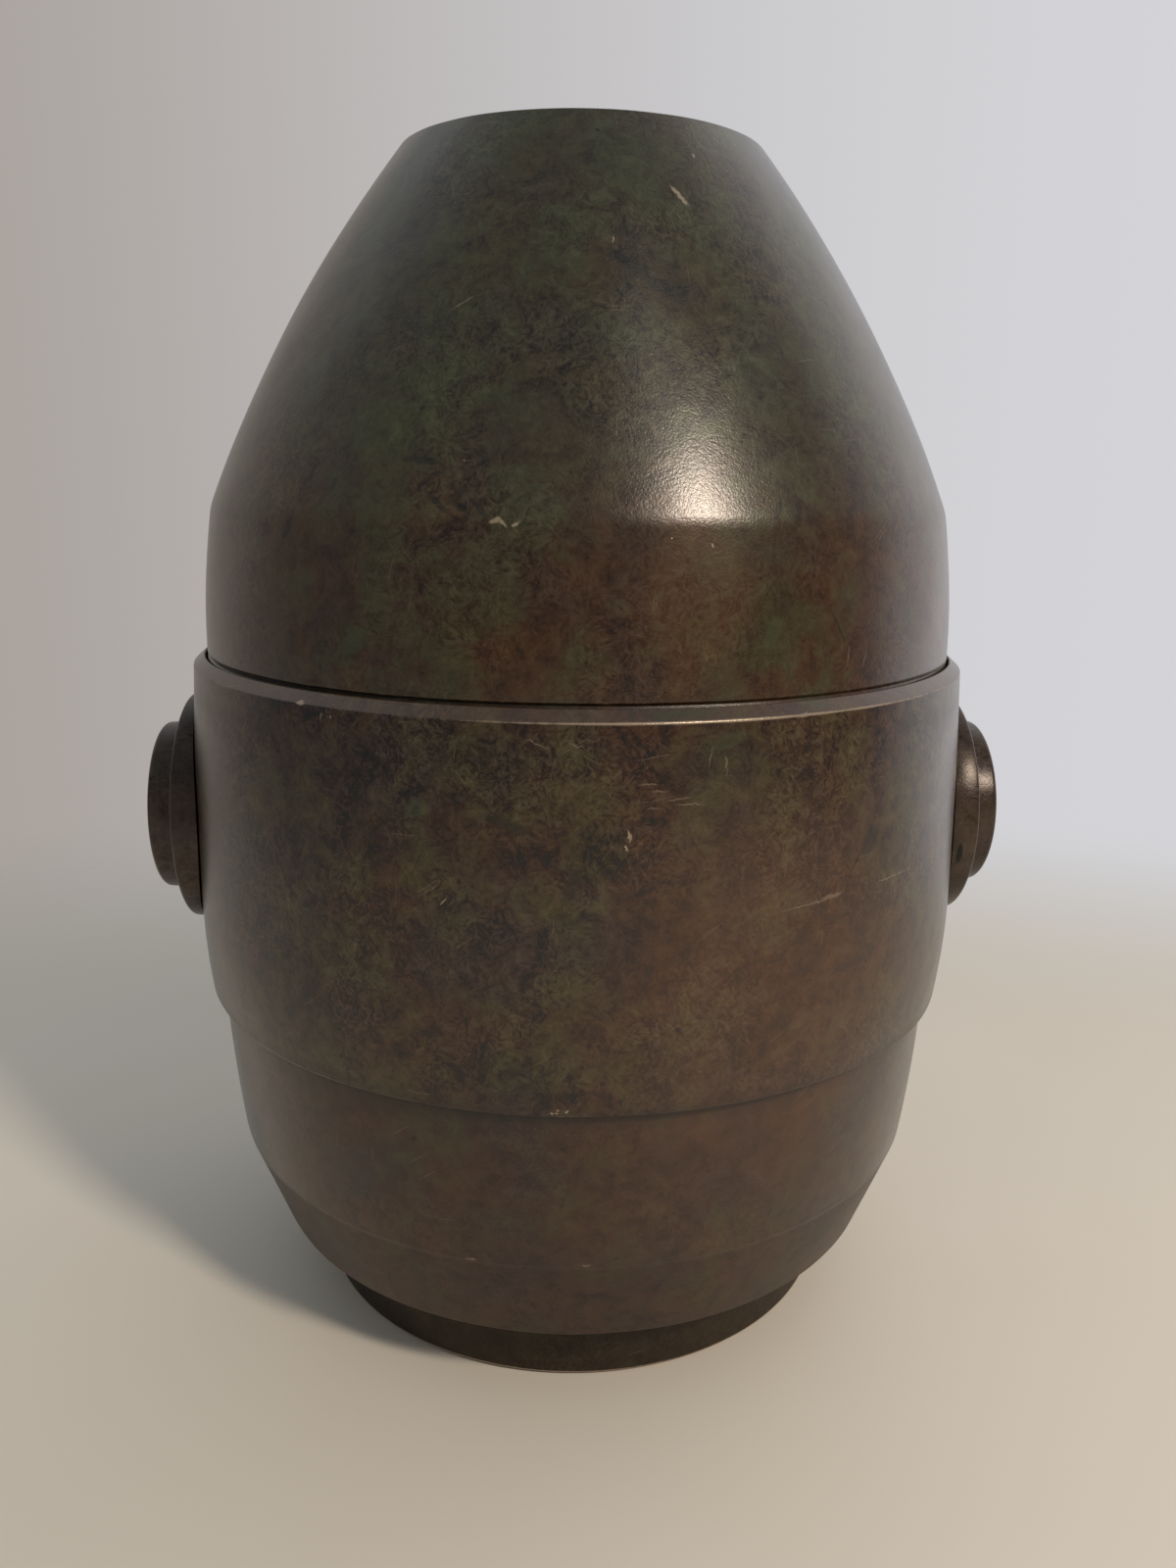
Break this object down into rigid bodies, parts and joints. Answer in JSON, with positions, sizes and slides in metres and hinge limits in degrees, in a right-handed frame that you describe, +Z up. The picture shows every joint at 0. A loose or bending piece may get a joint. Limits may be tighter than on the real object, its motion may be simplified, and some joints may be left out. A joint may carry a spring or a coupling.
{
  "type": "bronze vessel",
  "caption": "Round patinated bronze vessel: stepped body on a foot ring, stepped disc lugs at its sides, and a lift-off ogive upper section that stands in the rim and is open at the mouth.",
  "frame": {"origin": "centre of the foot ring's resting face, on the surface that the vessel stands on", "axes": "+Z up along the vessel's axis of turning, +X through the right lug, picture taken from the -Y side"},
  "size_m": [0.1904, 0.173, 0.25],
  "materials": {
    "drum_patina": "satin brown patina with olive mottling",
    "ogive_patina": "satin olive-green patina going brown towards the rim",
    "foot_patina": "darker dull patina",
    "lug_patina": "dark brown patina, polished on the edges",
    "bare_bronze": "unpatinated, dull, darkened with age"
  },
  "bodies": {
    "body": {"lower_body": "drum_patina", "foot_ring": "foot_patina", "base_plate": "bare_bronze", "left_lug_disc": "lug_patina", "left_lug_boss": "lug_patina", "left_lug_rove": "bare_bronze", "right_lug_disc": "lug_patina", "right_lug_boss": "lug_patina", "right_lug_rove": "bare_bronze"},
    "upper": {"upper_section": "ogive_patina"}
  },
  "joints": [
    {"name": "upper_lift", "type": "slide", "parent": "body", "child": "upper", "axis": [0, 0, 1], "range_m": [0, 0.12]}
  ]
}
